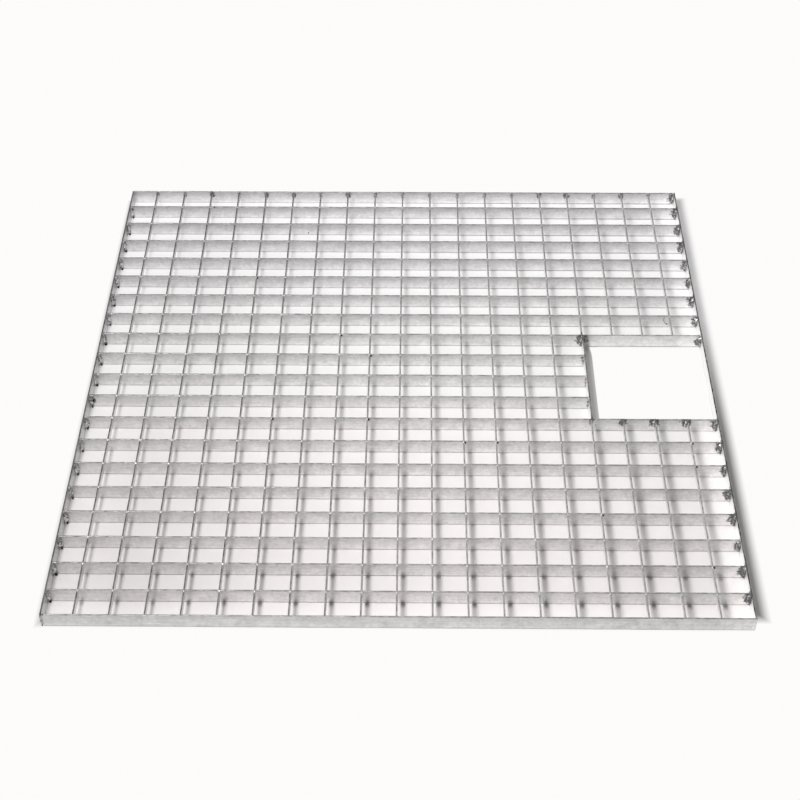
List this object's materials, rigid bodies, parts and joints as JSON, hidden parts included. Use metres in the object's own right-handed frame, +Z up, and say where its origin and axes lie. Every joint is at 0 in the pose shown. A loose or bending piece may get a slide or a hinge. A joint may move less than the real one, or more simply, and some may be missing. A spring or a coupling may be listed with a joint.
{
  "type": "steel grating panel",
  "caption": "Flat square steel grating of upright bearing bars and shallower cross bars, edged with flat bar and welded, with a banded cut-out at one side, for walkways, covers and shelves.",
  "frame": {"origin": "centre of the panel's outline, on the plane that it rests on", "axes": "+X along the bearing bars, towards the edge with the cut-out; +Y along the cross bars; +Z up, towards the walking surface"},
  "size_m": [0.796, 0.795, 0.02],
  "materials": {
    "galvanised_steel": "hot-dip galvanised, dull grey zinc with darker weld spatter at the bar ends"
  },
  "bodies": {
    "root": {"front_band": "galvanised_steel", "back_band": "galvanised_steel", "left_band": "galvanised_steel", "right_band": "galvanised_steel", "cutout_band": "galvanised_steel", "bar_grid_front": "galvanised_steel", "bar_grid_middle": "galvanised_steel", "bar_grid_back": "galvanised_steel"}
  },
  "joints": []
}
